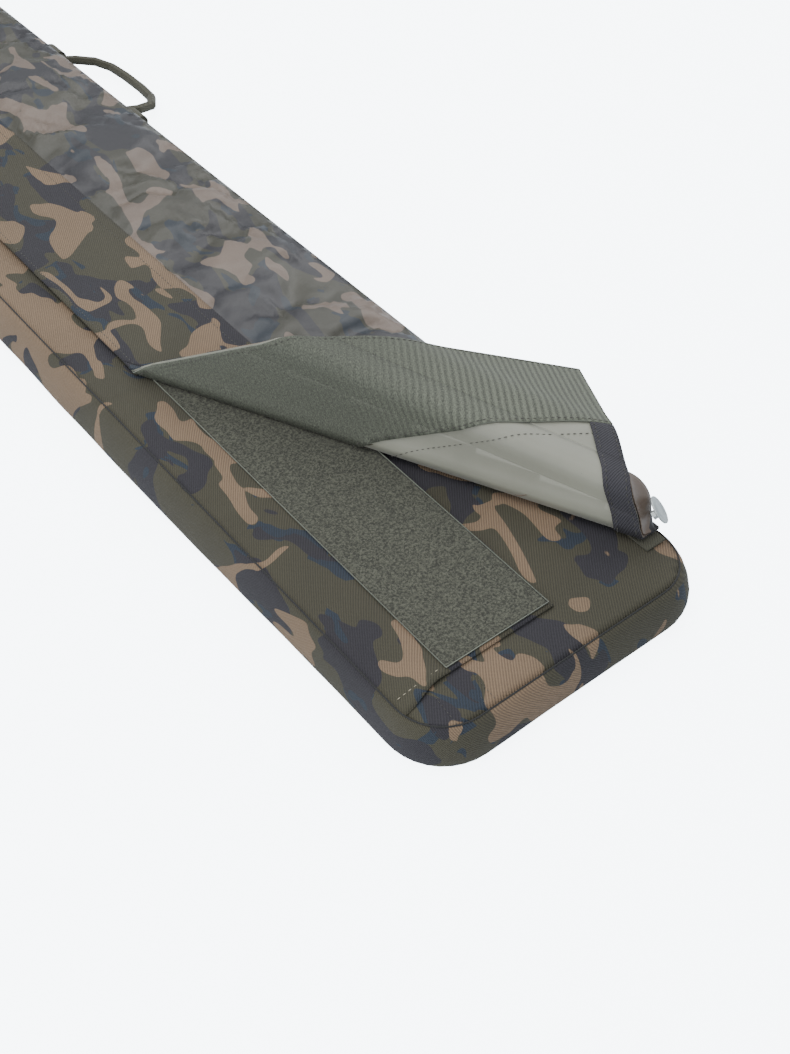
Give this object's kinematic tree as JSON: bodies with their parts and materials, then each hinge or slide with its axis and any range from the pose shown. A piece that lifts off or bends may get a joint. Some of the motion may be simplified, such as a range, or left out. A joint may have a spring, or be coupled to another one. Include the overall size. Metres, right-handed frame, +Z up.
{
  "type": "rod case",
  "caption": "Slim padded case for fishing rods, with a zipped lid, a full-length outer sleeve pocket and a hook-and-loop flap peeled back at the butt end.",
  "frame": {"origin": "centre of the underside of the back panel, on which the case lies", "axes": "+Y along the length, away from the butt end whose flap is peeled back; +X towards the side with the zip sliders and the handle; +Z up, out of the lid"},
  "size_m": [0.3439, 2.0092, 0.1213],
  "materials": {
    "camouflage_cloth": "matte",
    "coated_cloth": "satin",
    "lining_cloth": "satin",
    "foam": "matte",
    "loop_tape": "matte",
    "hook_tape": "matte",
    "twill_trim": "matte",
    "webbing": "matte",
    "zip_nylon": "matte",
    "steel": "satin"
  },
  "bodies": {
    "back": {"back_panel": "camouflage_cloth", "back_foam": "foam", "back_lining": "lining_cloth", "zip_strip_back": "zip_nylon", "spine_binding": "twill_trim", "rod_strap_1": "webbing", "rod_strap_2": "webbing", "rod_strap_3": "webbing"},
    "lid": {"left_wall": "camouflage_cloth", "right_wall": "camouflage_cloth", "butt_end_wall": "camouflage_cloth", "tip_end_wall": "camouflage_cloth", "lid_lining": "lining_cloth", "lid_foam": "foam", "lid_panel": "camouflage_cloth", "seam_piping": "twill_trim", "zip_strip_lid": "zip_nylon", "placket": "camouflage_cloth", "loop_tape": "loop_tape", "pocket_gusset": "camouflage_cloth", "flap_sheet_upper": "coated_cloth", "flap_band_upper": "camouflage_cloth", "hook_tape_upper": "hook_tape", "hem_upper": "twill_trim", "flap_corner_fold": "coated_cloth", "snap_tab": "twill_trim", "snap_cap": "steel", "snap_post": "steel", "ring_tab_butt": "webbing", "ring_tab_tip": "webbing", "handle_tab_butt": "webbing", "handle_tab_tip": "webbing", "loop_tab_left": "webbing", "loop_tab_right": "webbing"},
    "flap_1": {"flap_sheet_1": "coated_cloth", "flap_band_1": "camouflage_cloth", "hook_tape_1": "hook_tape", "hem_1": "twill_trim"},
    "flap_2": {"flap_sheet_2": "coated_cloth", "flap_band_2": "camouflage_cloth", "hook_tape_2": "hook_tape", "hem_2": "twill_trim"},
    "flap_3": {"flap_sheet_3": "coated_cloth", "flap_band_3": "camouflage_cloth", "hook_tape_3": "hook_tape", "hem_3": "twill_trim"},
    "slider_butt": {"zip_slider_butt": "steel"},
    "slider_tip": {"zip_slider_tip": "steel"},
    "pull_butt": {"zip_pull_butt": "zip_nylon"},
    "pull_tip": {"zip_pull_tip": "zip_nylon"},
    "carry_handle": {"carry_handle": "webbing"},
    "grab_loop": {"grab_loop": "webbing"},
    "ring_butt": {"d_ring_butt": "steel"},
    "ring_tip": {"d_ring_tip": "steel"}
  },
  "joints": [
    {"name": "lid_hinge", "type": "hinge", "parent": "back", "child": "lid", "pos_m": [-0.1372, 0, 0.006], "axis": [0, -1, 0], "range_deg": [0, 95]},
    {"name": "flap_fold_1", "type": "hinge", "parent": "lid", "child": "flap_1", "pos_m": [-0.096, -0.503, 0.0485], "axis": [0.4455, -0.8953, 0], "range_deg": [0, 101.8]},
    {"name": "flap_fold_2", "type": "hinge", "parent": "flap_1", "child": "flap_2", "pos_m": [-0.02009, -0.62322, 0.11741], "axis": [0.423, -0.8999, -0.1063], "range_deg": [0, 76]},
    {"name": "flap_fold_3", "type": "hinge", "parent": "flap_2", "child": "flap_3", "pos_m": [0.04838, -0.66612, 0.11178], "axis": [0.4128, -0.9045, -0.1067], "range_deg": [0, 21.4]},
    {"name": "slider_butt_slide", "type": "slide", "parent": "back", "child": "slider_butt", "axis": [0, -1, 0], "range_m": [0, 0.7]},
    {"name": "slider_tip_slide", "type": "slide", "parent": "back", "child": "slider_tip", "axis": [0, 1, 0], "range_m": [0, 0.7]},
    {"name": "pull_butt_swing", "type": "hinge", "parent": "slider_butt", "child": "pull_butt", "pos_m": [0.1431, -0.012, 0.00615], "axis": [0, 0, 1], "range_deg": [0, 90]},
    {"name": "pull_tip_swing", "type": "hinge", "parent": "slider_tip", "child": "pull_tip", "pos_m": [0.1431, 0.012, 0.00615], "axis": [0, 0, -1], "range_deg": [0, 90]},
    {"name": "carry_handle_swing", "type": "hinge", "parent": "lid", "child": "carry_handle", "pos_m": [0.1484, 0, 0.0225], "axis": [0, -1, 0], "range_deg": [0, 105]},
    {"name": "grab_loop_swing", "type": "hinge", "parent": "lid", "child": "grab_loop", "pos_m": [0, 0.9874, 0.0225], "axis": [1, 0, 0], "range_deg": [0, 110]},
    {"name": "ring_butt_swing", "type": "hinge", "parent": "lid", "child": "ring_butt", "pos_m": [0.1449, -0.8, 0.0225], "axis": [0, -1, 0], "range_deg": [0, 180]},
    {"name": "ring_tip_swing", "type": "hinge", "parent": "lid", "child": "ring_tip", "pos_m": [0.1449, 0.8, 0.0225], "axis": [0, -1, 0], "range_deg": [0, 180]}
  ],
  "couplings": [
    {"joint": "flap_fold_2", "follows": "flap_fold_1", "ratio": 0.7465},
    {"joint": "flap_fold_3", "follows": "flap_fold_1", "ratio": 0.2102}
  ]
}
